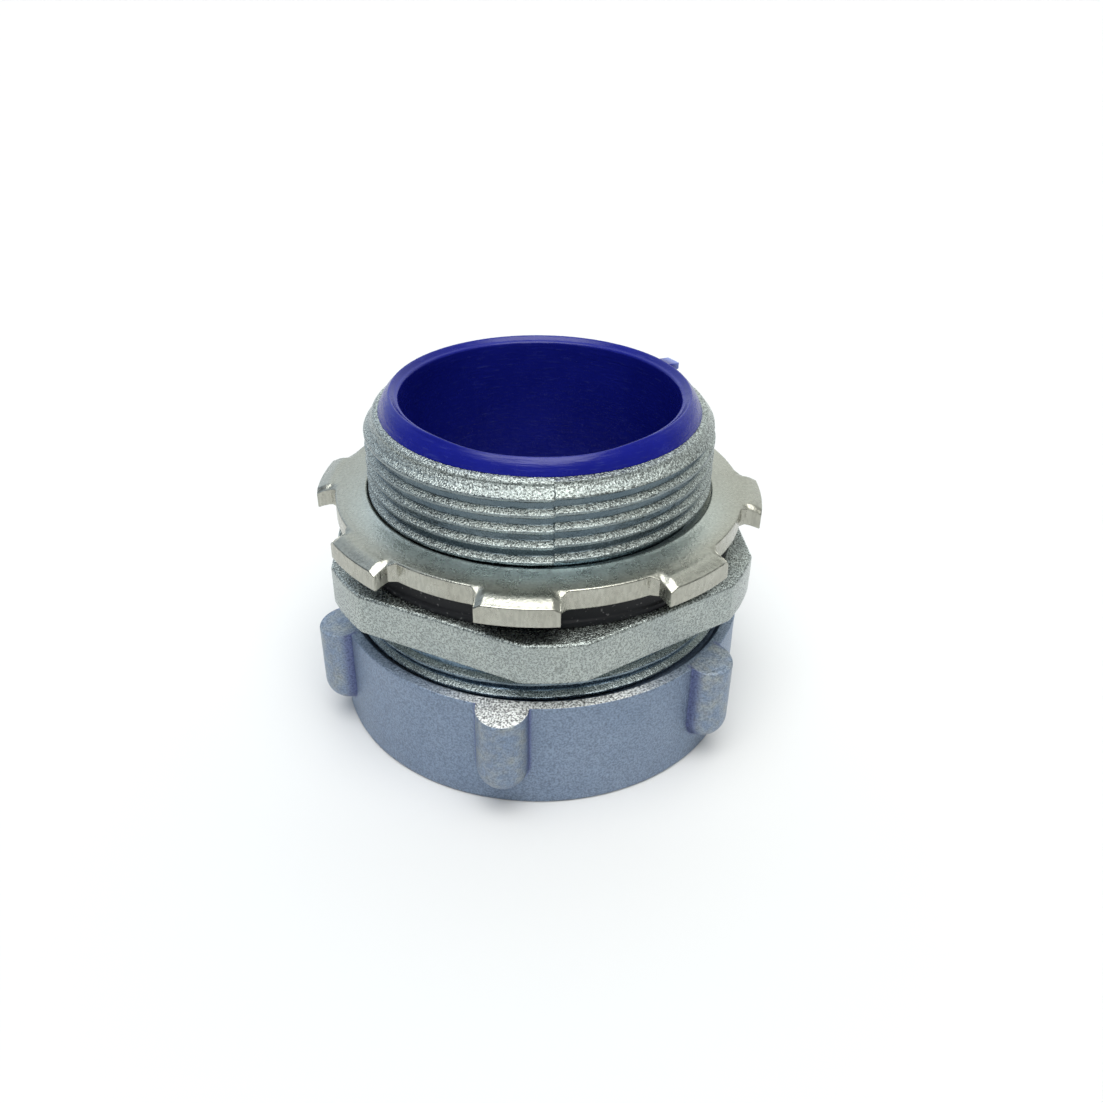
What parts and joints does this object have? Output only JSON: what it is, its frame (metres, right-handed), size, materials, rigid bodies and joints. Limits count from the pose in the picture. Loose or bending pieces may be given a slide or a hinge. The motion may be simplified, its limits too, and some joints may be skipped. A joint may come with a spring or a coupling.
{
  "type": "liquid-tight conduit connector",
  "caption": "Straight liquid-tight conduit connector: threaded hub with hex flange, blue insulated throat, lugged locknut, sealing gasket and ribbed gland nut.",
  "frame": {"origin": "centre of the gland nut's entry bore at its bottom face, the face that the connector stands on", "axes": "+Z along the connector's axis, from the conduit end towards the hub; -Y faces the front of the rest view"},
  "size_m": [0.063, 0.0658, 0.048],
  "materials": {
    "body_zinc": "die-cast zinc, satin with a fine grain",
    "liner_nylon": "moulded blue nylon, slightly glossy",
    "nut_zinc": "blue passivated die-cast zinc, satin with a fine grain",
    "ring_nylon": "natural nylon",
    "ferrule_steel": "zinc plated steel",
    "gasket_rubber": "matt black rubber",
    "locknut_steel": "zinc plated steel, satin, warm grey"
  },
  "bodies": {
    "nut": {"gland_nut": "nut_zinc"},
    "ring": {"compression_ring": "ring_nylon"},
    "body": {"connector_body": "body_zinc", "throat_liner": "liner_nylon", "grounding_ferrule": "ferrule_steel"},
    "gasket": {"sealing_gasket": "gasket_rubber"},
    "locknut": {"locknut": "locknut_steel"}
  },
  "joints": [
    {"name": "gland_turn", "type": "hinge", "parent": "nut", "child": "ring", "pos_m": [0, 0, 0.006], "axis": [0, 0, 1], "range_deg": [-360, 720]},
    {"name": "gland_travel", "type": "slide", "parent": "ring", "child": "body", "axis": [0, 0, 1], "range_m": [-0.00221, 0.00442]},
    {"name": "locknut_travel", "type": "slide", "parent": "body", "child": "gasket", "axis": [0, 0, 1], "range_m": [0, 0.00883]},
    {"name": "locknut_turn", "type": "hinge", "parent": "gasket", "child": "locknut", "pos_m": [0, 0, 0.032], "axis": [0, 0, 1], "range_deg": [0, 1440]}
  ],
  "couplings": [
    {"joint": "gland_turn", "follows": "gland_travel", "rad_per_m": 2844.7},
    {"joint": "locknut_turn", "follows": "locknut_travel", "rad_per_m": 2844.7}
  ]
}
